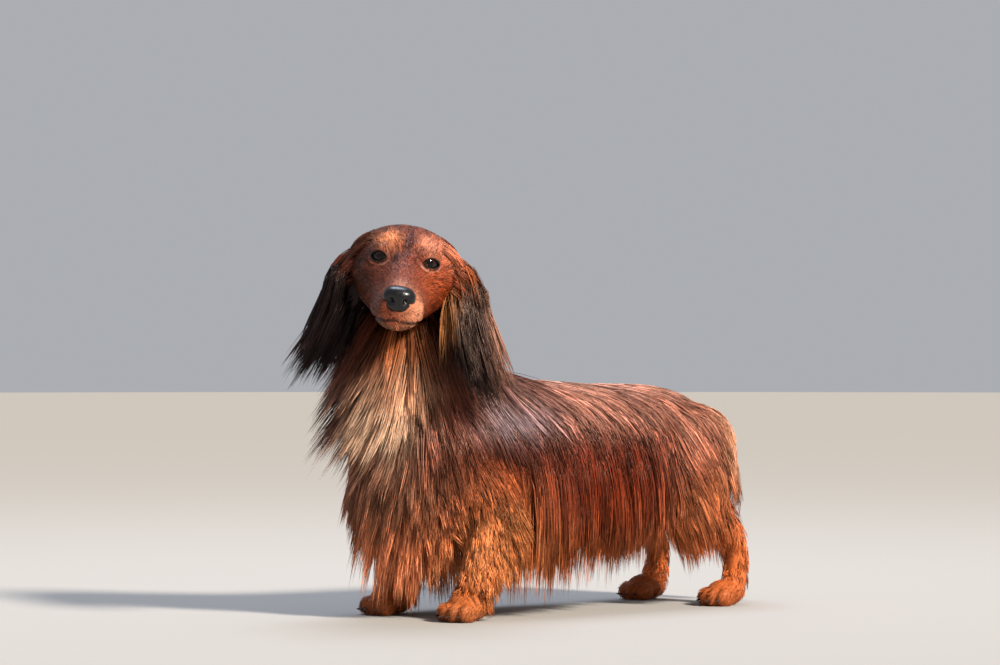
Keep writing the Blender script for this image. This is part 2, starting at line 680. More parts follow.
# The lie of the short hair: millimetres along the head from the nose, and round it
lie = np.stack([local[:, 0], np.arctan2(local[:, 1], local[:, 2] + 15) * 34, 0 * local[:, 0]], 1)
lie = np.where(on_head[:, None], lie, skin_places[:, [2, 0, 1]])
lie_layer = skin.data.attributes.new("lie", "FLOAT_VECTOR", "POINT")
lie_layer.data.foreach_set("vector", lie.astype(np.float32).ravel())


def new_material(name):
    material = bpy.data.materials.new(name)
    material.use_nodes = True
    return material, material.node_tree, material.node_tree.nodes["Principled BSDF"]


def add(tree, kind, settings=(), values=(), links=()):
    """Adds a node, sets what it is and its sockets' values, and links (socket, source socket)."""
    node = tree.nodes.new("ShaderNode" + kind)
    for key, value in dict(settings).items():
        setattr(node, key, value)
    for key, value in dict(values).items():
        node.inputs[key].default_value = value
    for key, source in dict(links).items():
        tree.links.new(source, node.inputs[key])
    return node


# Tanned pelt with short hair: the hairs lie in fine strokes about 0.5 mm wide and 5 mm long
HAIR_STROKE = (1 / 5.0, 1 / 0.55, 1.0)
material, tree, shader = new_material("short_coat_pelt")
lie_node = add(tree, "Attribute", {"attribute_name": "lie"})
stretch = add(tree, "Mapping", {}, {"Scale": HAIR_STROKE}, {"Vector": lie_node.outputs["Vector"]})
strokes = add(tree, "TexNoise", {}, {"Scale": 1.0, "Detail": 3.0}, {"Vector": stretch.outputs["Vector"]})
shade = add(tree, "Attribute", {"attribute_name": "coat_colour"})
darker = add(
    tree,
    "MapRange",
    {},
    {"From Min": 0.3, "From Max": 0.7, "To Min": 0.62, "To Max": 1.3},
    {"Value": strokes.outputs["Fac"]},
)
tinted = add(
    tree,
    "VectorMath",
    {"operation": "SCALE"},
    {},
    {"Vector": shade.outputs["Color"], "Scale": darker.outputs["Result"]},
)
raised = add(tree, "Bump", {}, {"Strength": 0.5, "Distance": 0.0006}, {"Height": strokes.outputs["Fac"]})
tree.links.new(tinted.outputs["Vector"], shader.inputs["Base Color"])
tree.links.new(raised.outputs["Normal"], shader.inputs["Normal"])
shader.inputs["Roughness"].default_value = 0.48
shader.inputs["IOR"].default_value = 1.38
shader.inputs["Specular Tint"].default_value = (*linear("#f0c8b4"), 1)
skin.data.materials.clear()
skin.data.materials.append(material)
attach(skin, "root")
LEGS = [a + "_" + b for a in ("foreleg", "hindleg", "paw_front", "paw_hind") for b in ("left", "right")]
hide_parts("torso", "neck", "head", "jaw", "tail", "ear_left", "ear_right", *LEGS)

# Eyes: glass eyes as a taxidermist sets them, a dark brown iris under a clear bulging cornea in
# a dark ball, with black rims of bare leather along both lids.
IRIS_RADIUS = 6.6
CORNEA_RISE = 0.9
GAZE_TURN = math.radians(14)
GAZE_DROP = math.radians(2)
RIM_RADIUS = 0.5
RIM_DEPTH = 11.4

glass, tree, shader = new_material("glass_eye")
zone = add(tree, "Attribute", {"attribute_name": "from_pupil"})
rays = add(tree, "TexNoise", {"noise_dimensions": "3D"}, {"Scale": 2600.0, "Detail": 4.0})
place_node = add(tree, "TexCoord")
tree.links.new(place_node.outputs["Object"], rays.inputs["Vector"])
ramp = add(tree, "ValToRGB", {}, {}, {"Fac": zone.outputs["Fac"]})
stops = (
    (0.0, "#020202"),
    (0.30, "#030202"),
    (0.35, "#1a0c08"),
    (0.50, "#26120b"),
    (0.58, "#0c0706"),
    (0.64, "#080606"),
)
ramp.color_ramp.elements[0].position = stops[0][0]
ramp.color_ramp.elements[0].color = (*linear(stops[0][1]), 1)
ramp.color_ramp.elements[1].position = stops[-1][0]
ramp.color_ramp.elements[1].color = (*linear(stops[-1][1]), 1)
for position, colour in stops[1:-1]:
    ramp.color_ramp.elements.new(position).color = (*linear(colour), 1)
flecks = add(tree, "MapRange", {}, {"From Min": 0.3, "From Max": 0.7, "To Min": 0.6, "To Max": 1.4}, {"Value": rays.outputs["Fac"]})
iris = add(tree, "VectorMath", {"operation": "SCALE"}, {}, {"Vector": ramp.outputs["Color"], "Scale": flecks.outputs["Result"]})
tree.links.new(iris.outputs["Vector"], shader.inputs["Base Color"])
shader.inputs["Roughness"].default_value = 0.05
shader.inputs["IOR"].default_value = 1.36

leather, tree, shader = new_material("bare_lid_leather")
grain = add(tree, "TexNoise", {}, {"Scale": 900.0, "Detail": 3.0})
place_node = add(tree, "TexCoord")
tree.links.new(place_node.outputs["Object"], grain.inputs["Vector"])
raised = add(tree, "Bump", {}, {"Strength": 0.3, "Distance": 0.0003}, {"Height": grain.outputs["Fac"]})
tree.links.new(raised.outputs["Normal"], shader.inputs["Normal"])
shader.inputs["Base Color"].default_value = (*linear("#0c0809"), 1)
shader.inputs["Roughness"].default_value = 0.32


def rim_round(side):
    """A rounded bead along the slit, lying on the lids' edge."""
    outline = np.array(almond(side, 0.15))
    ahead = np.sqrt(np.maximum(RIM_DEPTH**2 - (outline**2).sum(1), 1))
    line = np.column_stack([ahead, outline])
    line = line + 0.25 * (np.roll(line, 1, 0) + np.roll(line, -1, 0) - 2 * line)
    along = unit(np.roll(line, -1, 0) - np.roll(line, 1, 0))
    outward = unit(line)
    across = unit(np.cross(along, outward))
    bm = bmesh.new()
    rings = []
    for angle in np.linspace(0, 2 * math.pi, 8, endpoint=False):
        ring = line + RIM_RADIUS * (across * math.cos(angle) + outward * math.sin(angle) * 0.9)
        rings.append([bm.verts.new(p) for p in ring])
    count = len(line)
    for a, b in zip(rings, rings[1:] + rings[:1]):
        for k in range(count):
            bm.faces.new((a[k], a[(k + 1) % count], b[(k + 1) % count], b[k]))
    return bm


rims = bmesh.new()
for side, name in ((1, "eye_left"), (-1, "eye_right")):
    centre = Matrix.Translation((EYE_CENTRE[0], EYE_CENTRE[1] * side, EYE_CENTRE[2]))
    gaze = Matrix.Rotation(GAZE_TURN * side, 4, "Z") @ Matrix.Rotation(GAZE_DROP + math.pi / 2, 4, "Y")
    bm, at, angle = ball_grid(64, 72)
    co = np.array([v.co for v in bm.verts]) * EYE_RADIUS
    off = np.hypot(co[:, 0], co[:, 1])
    front = co[:, 2] > 0
    co[:, 2] += CORNEA_RISE * front * (1 - step_up(off, 0, IRIS_RADIUS + 0.8))
    set_places(bm, co)
    eye = set_down(bm, name + "_glass", HEAD @ centre @ gaze)
    share = eye.data.attributes.new("from_pupil", "FLOAT", "POINT")
    share.data.foreach_set("value", np.where(front, off / EYE_RADIUS, 1).astype(np.float32))
    eye.data.materials.append(glass)
    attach(eye, "root")
    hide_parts(name)
    rim_bm = rim_round(side)
    eye_frame = centre @ Matrix.Rotation(EYE_TURN * side, 4, "Z")
    bmesh.ops.transform(rim_bm, matrix=eye_frame, verts=rim_bm.verts)
    loose = bpy.data.meshes.new("rim")
    rim_bm.to_mesh(loose)
    rim_bm.free()
    rims.from_mesh(loose)
    bpy.data.meshes.remove(loose)
lid_rims = set_down(rims, "lid_rims", HEAD)
lid_rims.data.materials.append(leather)
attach(lid_rims, "root")

# Nose: bare black leather, wet-looking, broad and flat on top, with comma nostrils that open
# to the sides, a groove down its front and a finely pebbled grain.
NOSE_CENTRE = (89.8, 0, -26.6)
NOSE_HALF = (12.2, 15.6, 13.4)
# Hollows pressed into it: along, side, up, depth, radius along, side and up
NOSE_HOLLOWS = (
    (11, 7.6, -1.0, 4.6, 6, 3.6, 3.2),
    (8, 11.6, -3.4, 2.6, 6, 3.2, 1.7),
    (12, 0, -5, 1.2, 8, 0.9, 8),
    (0, 0, 15, 1.4, 14, 20, 5),
    (4, 15, -10, 3.4, 10, 6, 6),
)
NOSE_PEBBLE = 1.3  # millimetres between the grains

bm, at, angle = ball_grid(120, 88)
co = np.array([v.co for v in bm.verts])
co = np.sign(co) * np.abs(co) ** np.array((0.92, 0.86, 0.86)) * NOSE_HALF
inward = -unit(co / np.array(NOSE_HALF) ** 1.0)
for along, aside, up, depth, r_along, r_side, r_up in NOSE_HOLLOWS:
    for mirrored in {aside, -aside}:
        away = (co - (along, mirrored, up)) / (r_along, r_side, r_up)
        co = co + inward * (depth * np.exp(-(away**2).sum(1)))[:, None]
set_places(bm, co)
nose = set_down(bm, "nose_leather_pad", HEAD @ Matrix.Translation(NOSE_CENTRE))
material, tree, shader = new_material("nose_leather")
place_node = add(tree, "TexCoord")
pebbles = add(tree, "TexVoronoi", {"feature": "F1"}, {"Scale": 1000 / NOSE_PEBBLE}, {"Vector": place_node.outputs["Object"]})
raised = add(tree, "Bump", {"invert": True}, {"Strength": 0.35, "Distance": 0.0003}, {"Height": pebbles.outputs["Distance"]})
tree.links.new(raised.outputs["Normal"], shader.inputs["Normal"])
shader.inputs["Base Color"].default_value = (*linear("#080709"), 1)
shader.inputs["Roughness"].default_value = 0.28
shader.inputs["IOR"].default_value = 1.42
shader.inputs["Coat Weight"].default_value = 0.12
shader.inputs["Coat Roughness"].default_value = 0.1
nose.data.materials.append(material)
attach(nose, "root")
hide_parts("nose")

# Claws: curved dark horn, one at the tip of each toe, half hidden in the hair of the feet.
CLAW_LENGTH = 11.0
CLAW_RADIUS = 2.3
CLAW_TIP = 0.4
CLAW_HEIGHT = 6.4
CLAW_LEAN = math.radians(-112)
all_claws = bmesh.new()
for places in paw_places.values():
    for middle, splay, forward, sideways in places:
        bm, at, angle = ball_grid(14, 14)
        width = CLAW_RADIUS + (CLAW_TIP - CLAW_RADIUS) * at**0.8
        width = width * np.sqrt(np.clip(np.minimum(at, 1 - at) * 12, 0, 1))
        curve = 1.6 * (2 * at - 1) ** 2
        co = np.stack([width * np.cos(angle) + curve, width * np.sin(angle) * 0.8, (at - 0.5) * CLAW_LENGTH], 1)
        set_places(bm, co)
        claw_at = middle + splay @ Vector((forward - TOE_HALF[0] + 1, sideways, CLAW_HEIGHT))
        aim = Matrix.Translation(claw_at) @ splay @ Matrix.Rotation(CLAW_LEAN, 4, "Y")
        bmesh.ops.transform(bm, matrix=aim, verts=bm.verts)
        loose = bpy.data.meshes.new("claw")
        bm.to_mesh(loose)
        bm.free()
        all_claws.from_mesh(loose)
        bpy.data.meshes.remove(loose)
for vertex in all_claws.verts:
    vertex.co.z = max(vertex.co.z, 0.4)
claws = set_down(all_claws, "claws")
material, tree, shader = new_material("claw_horn")
place_node = add(tree, "TexCoord")
fibre = add(tree, "TexNoise", {}, {"Scale": 500.0, "Detail": 3.0}, {"Vector": place_node.outputs["Object"]})
tone = add(tree, "ValToRGB", {}, {}, {"Fac": fibre.outputs["Fac"]})
tone.color_ramp.elements[0].color = (*linear("#120c0a"), 1)
tone.color_ramp.elements[1].color = (*linear("#3b2a22"), 1)
tree.links.new(tone.outputs["Color"], shader.inputs["Base Color"])
shader.inputs["Roughness"].default_value = 0.35
claws.data.materials.append(material)
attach(claws, "root")

# Long coat: silky hair in thousands of thin, tapered tufts, rooted in the pelt, combed back
# over the body and hanging in a fringe from the flanks, chest, ears, legs and tail. Tufts near
# each other share a guide hair and draw together towards their tips, as locks do.
rng = np.random.default_rng(7)
LOWEST_HAIR = 3.0
STEPS = 9
ROOT_SUNK = 1.2
BREEZE = np.array((-0.77, 0.64, 0.0))
# How the coat is combed: place, way, length and lift, for the left side; the right mirrors it
TRUNK_COMB = (
    ((-150, -20, 245), (0.80, -0.50, -0.35), 62, 2.0),
    ((-70, -20, 238), (0.85, -0.45, -0.22), 50, 1.2),
    ((20, -15, 229), (0.85, -0.45, -0.20), 44, 1.0),
    ((110, -15, 225), (0.85, -0.42, -0.22), 40, 1.0),
    ((165, -20, 212), (0.70, -0.25, -0.65), 38, 1.2),
    ((198, -26, 165), (0.10, -0.15, -1.0), 42, 2.5),
    ((-115, -55, 222), (0.45, -0.45, -0.78), 92, 2.0),
    ((-40, -55, 215), (0.50, -0.40, -0.78), 92, 1.6),
    ((40, -52, 212), (0.50, -0.40, -0.78), 84, 1.6),
    ((110, -50, 208), (0.45, -0.35, -0.82), 68, 1.6),
    ((-160, -72, 190), (0.30, -0.12, -0.95), 58, 2.0),
    ((-162, -72, 155), (0.40, -0.10, -0.90), 38, 1.6),
    ((-80, -78, 180), (0.20, 0.0, -1.0), 104, 2.4),
    ((10, -76, 178), (0.20, 0.0, -1.0), 98, 2.4),
    ((90, -70, 178), (0.18, 0.0, -1.0), 84, 2.4),
    ((-90, -76, 130), (-0.08, 0.0, -1.0), 98, 3.5),
    ((-10, -72, 125), (-0.12, 0.0, -1.0), 88, 3.5),
    ((70, -64, 125), (-0.06, 0.0, -1.0), 74, 3.5),
    ((-60, 0, 86), (-0.05, 0.0, -1.0), 46, 5),
    ((40, 0, 94), (-0.05, 0.0, -1.0), 44, 5),
    ((150, -66, 175), (0.45, -0.05, -0.85), 50, 2),
    ((-212, -10, 180), (-0.12, 0.04, -1.0), 80, 9),
    ((-205, -20, 215), (-0.20, 0.06, -1.0), 84, 10),
    ((-190, -45, 170), (-0.04, -0.04, -1.0), 76, 6),
    ((-202, 0, 130), (0.06, 0.02, -1.0), 98, 6),
    ((-182, 0, 100), (0.06, 0.02, -1.0), 92, 4),
    ((-178, -58, 145), (0.12, -0.06, -1.0), 32, 2.0),
    ((-170, -52, 112), (0.10, 0.0, -1.0), 20, 1.2),
)
NECK_COMB = (
    ((-150, -20, 300), (0.55, -0.22, -0.80), 74, 3),
    ((-130, -40, 250), (0.60, -0.30, -0.75), 84, 3),
    ((-185, -50, 285), (0.30, -0.20, -0.95), 80, 4),
    ((-170, -58, 240), (0.32, -0.18, -0.95), 76, 3),
    ((-225, -15, 290), (-0.22, 0.04, -1.0), 78, 7),
    ((-215, -15, 240), (-0.26, 0.06, -1.0), 92, 12),
)
FORELEG_COMB = (
    ((-140, -80, 165), (0.45, -0.15, -0.90), 44, 1.6),
    ((-128, -88, 125), (0.60, -0.10, -0.80), 36, 1.8),
    ((-105, -70, 108), (0.75, -0.10, -0.70), 44, 3),
    ((-115, -64, 75), (0.42, -0.05, -0.95), 52, 7),
    ((-128, -60, 48), (0.25, 0.0, -1.0), 40, 6),
    ((-150, -86, 100), (0.16, -0.05, -1.0), 20, 1.0),
    ((-150, -80, 60), (0.08, 0.0, -1.0), 13, 0.8),
    ((-166, -64, 95), (0.02, -0.05, -1.0), 14, 0.9),
    ((-166, -62, 45), (0.02, -0.05, -1.0), 9, 0.6),
    ((-140, -42, 80), (0.12, 0.1, -1.0), 22, 1.5),
)
HINDLEG_COMB = (
    ((150, -74, 175), (0.46, -0.06, -0.9), 50, 2),
    ((140, -80, 125), (0.50, -0.04, -0.85), 44, 2.5),
    ((186, -56, 135), (0.30, -0.04, -1.0), 44, 4),
    ((188, -60, 92), (0.30, 0.0, -1.0), 28, 4),
    ((208, -60, 62), (0.12, 0.0, -1.0), 17, 2.5),
    ((182, -60, 42), (0.02, 0.0, -1.0), 9, 0.7),
    ((200, -76, 42), (0.04, 0.0, -1.0), 9, 0.7),
    ((112, -58, 112), (0.34, -0.08, -0.95), 58, 5),
)
TAIL_COMB = (
    ((205, 0, 170), (0.22, -0.06, -1.0), 44, 4),
    ((218, -8, 110), (0.20, -0.06, -1.0), 52, 7),
    ((230, -14, 65), (0.10, -0.05, -1.0), 40, 6),
)
COMB_REACH = 36.0
# Each region: its forms, its comb, the share of guide places kept and the tufts to a guide,
# tuft width, how far a tuft may root from its guide, how strongly tips draw together, waviness,
# and how far the breeze carries the hair on the side it blows towards
REGIONS = {
    "torso": (TRUNK_COMB, 0.62, 16, 0.88, 8.0, 0.52, 0.45, 0.0),
    "chest": (TRUNK_COMB, 0.80, 17, 0.86, 8.0, 0.74, 0.9, 0.30),
    "neck": (NECK_COMB, 0.85, 17, 0.88, 7.5, 0.62, 0.7, 0.60),
    "crown": (None, 0.9, 16, 0.7, 4.5, 0.40, 0.3, 0.0),
    "foreleg": (FORELEG_COMB, 0.90, 11, 0.80, 5.5, 0.50, 0.9, 0.0),
    "hindleg": (HINDLEG_COMB, 0.85, 11, 0.82, 6.0, 0.50, 0.7, 0.0),
    "tail": (TAIL_COMB, 1.0, 13, 0.85, 5.5, 0.50, 0.8, 0.0),
    "ear": (None, 1.0, 15, 0.78, 6.0, 0.58, 0.9, 0.0),
}
# How firmly each region's hair is laid back on the skin where it rises off it
HUG = {"torso": 0.35, "chest": 0.25, "neck": 0.25, "crown": 0.3}
HUG |= {"foreleg": 0.35, "hindleg": 0.35, "tail": 0.3, "ear": 0.04}
skin_tree = BVHTree.FromPolygons(skin_places.tolist(), [list(p.vertices) for p in skin.data.polygons])


def nearest_skin(points):
    """The skin's nearest place and outward way for each point."""
    found = [skin_tree.find_nearest(p)[:2] for p in points.tolist()]
    return np.array([f[0] for f in found]), np.array([f[1] for f in found])


def scattered_roots(count):
    """Places spread evenly over the skin, with the way out of it."""
    mesh = skin.data
    mesh.calc_loop_triangles()
    corners = np.zeros(len(mesh.loop_triangles) * 3, np.int32)
    mesh.loop_triangles.foreach_get("vertices", corners)
    a, b, c = (skin_places[corners.reshape(-1, 3)[:, k]] for k in range(3))
    area = np.linalg.norm(np.cross(b - a, c - a), axis=1) / 2
    total = np.cumsum(area)
    pick = np.searchsorted(total, (np.arange(count) + rng.random(count)) / count * total[-1])
    pick = np.minimum(pick, len(area) - 1)
    u, v = np.sqrt(rng.random(count)), rng.random(count)
    points = a[pick] * (1 - u)[:, None] + b[pick] * (u * (1 - v))[:, None] + c[pick] * (u * v)[:, None]
    return points, unit(np.cross(b - a, c - a))[pick]


def nearest_form(points):
    """The name of the form that each place on the skin belongs to."""
    names = list(trees)
    spans = [[trees[n].find_nearest(p)[3] for n in names] for p in points.tolist()]
    return np.array(names)[np.argmin(np.array(spans), axis=1)]


def combed(points, comb):
    """Way, length and lift at each place, from the comb's nearest strokes."""
    side = np.where(points[:, 1] < 0, 1.0, -1.0)
    mirrored = points * np.stack([np.ones(len(points)), side, np.ones(len(points))], 1)
    places = np.array([row[0] for row in comb], float)
    ways = unit(np.array([row[1] for row in comb], float))
    measures = np.array([row[2:] for row in comb], float)
    spans = np.linalg.norm(mirrored[:, None] - places[None], axis=2) / COMB_REACH
    weights = np.exp(-(spans**2)) + 1e-6 / (1 + spans)
    weights = weights / weights.sum(1, keepdims=True)
    way = weights @ ways
    way[:, 1] *= side
    return unit(way), weights @ measures


EAR_BREEZE = {"ear_left": -0.30, "ear_right": 0.70}
CROWN_WAY = (-0.30, 0.75, -0.62)
CROWN_LENGTH = 28
CROWN_LIFT = 1.2


def crown_comb(points):
    """Over the ears' roots: outwards and down from the skull, to lie over the leather."""
    local = to_head(points)
    side = np.where(local[:, 1] > 0, 1.0, -1.0)
    way = np.tile(CROWN_WAY, (len(points), 1))
    way[:, 1] *= side
    return unit(way @ HEAD_TURNED.T), np.tile((CROWN_LENGTH, CROWN_LIFT), (len(points), 1))


def ear_comb(points, names):
    """On the ears: down the leather and out towards its edges."""
    way = np.zeros_like(points)
    measures = np.zeros((len(points), 2))
    for name, (rows, across, facing) in ear_lines.items():
        own = names == name
        if not own.any():
            continue
        local = points[own] - rows[0, :3]
        down = np.clip(-local[:, 2] / EAR_DROP, 0, 1)
        row = smooth_row(rows, np.interp(-local[:, 2], rows[0, 2] - rows[:, 2], np.linspace(0, 1, len(rows))))
        aside = (points[own] - row[:, :3]) @ across
        out = (points[own] - row[:, :3]) @ facing
        spread = np.clip(aside / 24, -1, 1)
        outside = out > -2
        way[own] = (0, 0, -1) + across * (spread * (0.10 + 0.24 * down))[:, None]
        way[own] += facing * np.where(outside, 0.10, 0.02)[:, None]
        way[own] += EAR_BREEZE[name] * BREEZE * (0.05 + down)[:, None]
        measures[own, 0] = np.where(outside, 70, 52 + 14 * np.abs(spread))
        measures[own, 1] = np.where(outside, 3.4, 2.4)
    return unit(way), measures


EAR_CLEAR = 11.0  # millimetres by which the ears' fringe hangs clear of neck and shoulder


def hung_clear(points, clear):
    """Moved sideways, out of the coat of the neck and the shoulder."""
    for form in ("neck", "torso"):
        found = [trees[form].find_nearest(p)[:2] for p in points.tolist()]
        near, away = (np.array([f[k] for f in found]) for k in (0, 1))
        short = np.clip(clear - ((points - near) * away).sum(1), 0, 30)
        points = points + away * (1, 1, 0) * short[:, None]
    return points


def grow(points, normals, names, region):
    """Guide hairs: each leaves the skin, lies over it along its way, and hangs free at the end."""
    comb, *_, gust = REGIONS[region]
    if comb is not None:
        way, measures = combed(points, comb)
    elif region == "crown":
        way, measures = crown_comb(points)
    else:
        way, measures = ear_comb(points, names)
    lengths = measures[:, 0] * rng.uniform(0.80, 1.15, len(points))
    lifts = measures[:, 1] * rng.uniform(0.5, 1.5, len(points))
    blown = BREEZE * (gust * np.clip(normals @ BREEZE, 0, 1))[:, None]
    way = unit(way + rng.normal(0, 0.05, way.shape) + blown)
    step = (lengths / STEPS)[:, None]
    outward = np.minimum((way * normals).sum(1), 0)[:, None]
    heading = unit(way - normals * outward + normals * 0.35)
    at = points
    path = [points - normals * ROOT_SUNK]
    for k in range(1, STEPS + 1):
        ahead = at + heading * step
        near, away = nearest_skin(ahead)
        height = ((ahead - near) * away).sum(1)
        over = np.abs(height) > 0.7 * np.linalg.norm(ahead - near, axis=1) - 0.3
        wanted = 0.8 + lifts * math.sqrt(k / STEPS)
        ahead = ahead + away * (np.maximum(wanted - height, 0) * over)[:, None]
        lying = over & (away[:, 2] > -0.1) & (height < 16)
        ahead = ahead - away * (np.maximum(height - wanted, 0) * HUG[region] * lying)[:, None]
        if region == "ear":
            ahead = hung_clear(ahead, EAR_CLEAR * min(1, 2 * k / STEPS))
        ahead[:, 2] = np.maximum(ahead[:, 2], LOWEST_HAIR)
        moved = unit(ahead - at)
        if comb is not None:
            way = unit(0.5 * way + 0.5 * unit(combed(ahead, comb)[0] + blown))
        stiff = 0.3 if region == "ear" else 0.6
        heading = unit(moved * stiff + way * (1 - stiff))
        at = ahead
        path.append(at)
    return np.stack(path, 1)


guide_points, guide_normals = scattered_roots(9000)
guide_names = nearest_form(guide_points)
guide_regions = np.array([n.split("_")[0] for n in guide_names])
sides = np.where(guide_points[:, 1] < 0, "left", "right")

TUFT_STOPS = (0.0, 0.3, 0.6, 0.84)
SHORT_HAIR_STOPS = (0.0, 0.38, 0.74)
TUFT_WIDTHS = (0.6, 1.0, 0.86, 0.55)
RIDGE = 0.5
FLYAWAY_SHARE = 0.05


def tuft_paths(guides, normals, region, count, stops):
    """Tufts round each guide: rooted near it in the skin, and drawn to it along their length."""
    *_, reach, draw, wave, _ = REGIONS[region]
    total = len(guides) * count
    own = np.repeat(np.arange(len(guides)), count)
    angle = rng.uniform(0, 2 * math.pi, total)
    far = reach * np.sqrt(rng.random(total))
    first = unit(np.cross(normals, (0.31, 0.47, 0.83)))
    second = np.cross(normals, first)
    off = first[own] * (far * np.cos(angle))[:, None] + second[own] * (far * np.sin(angle))[:, None]
    roots, ways = nearest_skin(guides[own, 0] + normals[own] * ROOT_SUNK + off)
    off = roots - ways * ROOT_SUNK - guides[own, 0]
    flyaway = rng.random(total) < FLYAWAY_SHARE
    pull = np.where(flyaway, -0.15, draw * rng.uniform(0.6, 1.15, total))
    share = rng.uniform(0.72, 1.06, total) * np.where(flyaway, 1.08, 1)
    stops = np.array([*stops, 1.0])
    along = stops[None] * share[:, None] * STEPS
    low = np.minimum(along.astype(int), STEPS - 1)
    t = (along - low)[..., None]
    line = guides[own[:, None], low] * (1 - t) + guides[own[:, None], low + 1] * t
    closing = 1 - pull[:, None] * stops[None] ** 1.3
    line = line + off[:, None] * closing[..., None]
    phase = rng.uniform(0, 2 * math.pi, (total, 1)) * 0.35 + (own * 2.4)[:, None]
    across = unit(np.cross(ways, line[:, -1] - line[:, 0]))
    sway = wave * stops[None] * 1.6 * np.sin(phase + stops[None] * 5)
    line = line + across[:, None] * sway[..., None] + rng.normal(0, 0.2, line.shape) * stops[None, :, None]
    line[..., 2] = np.maximum(line[..., 2], LOWEST_HAIR - 2)
    return line, ways, own


def tuft_mesh(name, line, ways, widths, colours, patches):
    """All tufts of one piece as one mesh: thin, ridged, tapering to a point, closed at the root."""
    total, rings = len(line), line.shape[1] - 1
    tangent = unit(line[:, 1:] - line[:, :-1])
    tilt = rng.uniform(-0.5, 0.5, total)[:, None, None]
    across = unit(np.cross(np.broadcast_to(ways[:, None], tangent.shape), tangent))
    up = np.cross(tangent, across)
    across, up = across * np.cos(tilt) + up * np.sin(tilt), up * np.cos(tilt) - across * np.sin(tilt)
    profile = np.interp(np.linspace(0, 1, rings), np.linspace(0, 1, len(TUFT_WIDTHS)), TUFT_WIDTHS)
    half = (widths[:, None] * profile[None] / 2)[..., None]
    base = line[:, :-1]
    ring = np.stack([base - across * half, base + across * half, base + up * half * 2 * RIDGE], 2)
    points = np.concatenate([ring.reshape(total, rings * 3, 3), line[:, -1:]], 1)
    per = rings * 3 + 1
    quads = [
        (r * 3 + i, r * 3 + (i + 1) % 3, r * 3 + 3 + (i + 1) % 3, r * 3 + 3 + i)
        for r in range(rings - 1)
        for i in range(3)
    ]
    last = (rings - 1) * 3
    threes = [(last + i, last + (i + 1) % 3, rings * 3) for i in range(3)] + [(0, 2, 1)]
    pattern = np.array([i for face in quads + threes for i in face])
    sizes = np.array([4] * len(quads) + [3] * len(threes))
    starts = np.concatenate([[0], np.cumsum(sizes)[:-1]])
    offsets = np.arange(total)
    loops = (pattern[None] + offsets[:, None] * per).ravel().astype(np.int32)
    face_starts = (starts[None] + offsets[:, None] * len(pattern)).ravel().astype(np.int32)
    mesh = bpy.data.meshes.new(name)
    mesh.vertices.add(total * per)
    mesh.vertices.foreach_set("co", to_room(points.reshape(-1, 3)).astype(np.float32).ravel())
    mesh.loops.add(len(loops))
    mesh.loops.foreach_set("vertex_index", loops)
    mesh.polygons.add(len(face_starts))
    mesh.polygons.foreach_set("loop_start", face_starts)
    mesh.update(calc_edges=True)
    mesh.validate()
    mesh.shade_smooth()
    colour_points(mesh, colours.reshape(-1, 3))
    spread = np.array([((i % 3) / 3, (i // 3) / rings) for i in range(per)]) * PATCH
    corners = (patches[:, None] + spread[None, pattern]).reshape(-1, 2).astype(np.float32)
    layer = mesh.uv_layers.new(name="OFBake")
    layer.data.foreach_set("uv", corners.ravel())
    obj = bpy.data.objects.new(name, mesh)
    bpy.context.scene.collection.objects.link(obj)
    return obj


PATCH = 0.003


def unwrapped_skin():
    """A light copy of the skin, unwrapped, for the tufts' places on the baked sheet."""
    copy = bpy.data.objects.new("sheet", skin.data.copy())
    bpy.context.scene.collection.objects.link(copy)
    thin = copy.modifiers.new("thin", "DECIMATE")
    thin.ratio = 0.06
    sheet = bpy.data.objects.new("sheet", made_mesh(copy))
    bpy.context.scene.collection.objects.link(sheet)
    bpy.context.view_layer.objects.active = sheet
    sheet.select_set(True)
    bpy.ops.object.mode_set(mode="EDIT")
    bpy.ops.mesh.select_all(action="SELECT")
    bpy.ops.uv.smart_project(angle_limit=1.1, island_margin=0.004)
    bpy.ops.object.mode_set(mode="OBJECT")
    uv = np.zeros(len(sheet.data.loops) * 2)
    sheet.data.uv_layers.active.data.foreach_get("uv", uv)
    faces = np.array([list(p.vertices)[:3] for p in sheet.data.polygons])
    starts = np.array([p.loop_start for p in sheet.data.polygons])
    corners = np.stack([uv.reshape(-1, 2)[starts + k] for k in range(3)], 1)
    found = places_of(sheet.data), faces, corners, tree_of(sheet.data)
    bpy.data.objects.remove(sheet)
    return found


sheet_places, sheet_faces, sheet_corners, sheet_tree = unwrapped_skin()


def patches_at(roots):
    """Each root's place on the unwrapped skin."""
    found = [sheet_tree.find_nearest(p) for p in roots.tolist()]
    face = np.array([f[2] for f in found])
    at = np.array([f[0] for f in found])
    a, b, c = (sheet_places[sheet_faces[face, k]] for k in range(3))
    whole = np.linalg.norm(np.cross(b - a, c - a), axis=1)
    wa = np.linalg.norm(np.cross(b - at, c - at), axis=1) / whole
    wb = np.linalg.norm(np.cross(c - at, a - at), axis=1) / whole
    weights = np.clip(np.stack([wa, wb, 1 - wa - wb], 1), 0, 1)
    return np.clip((sheet_corners[face] * weights[..., None]).sum(1), 0, 1 - PATCH)


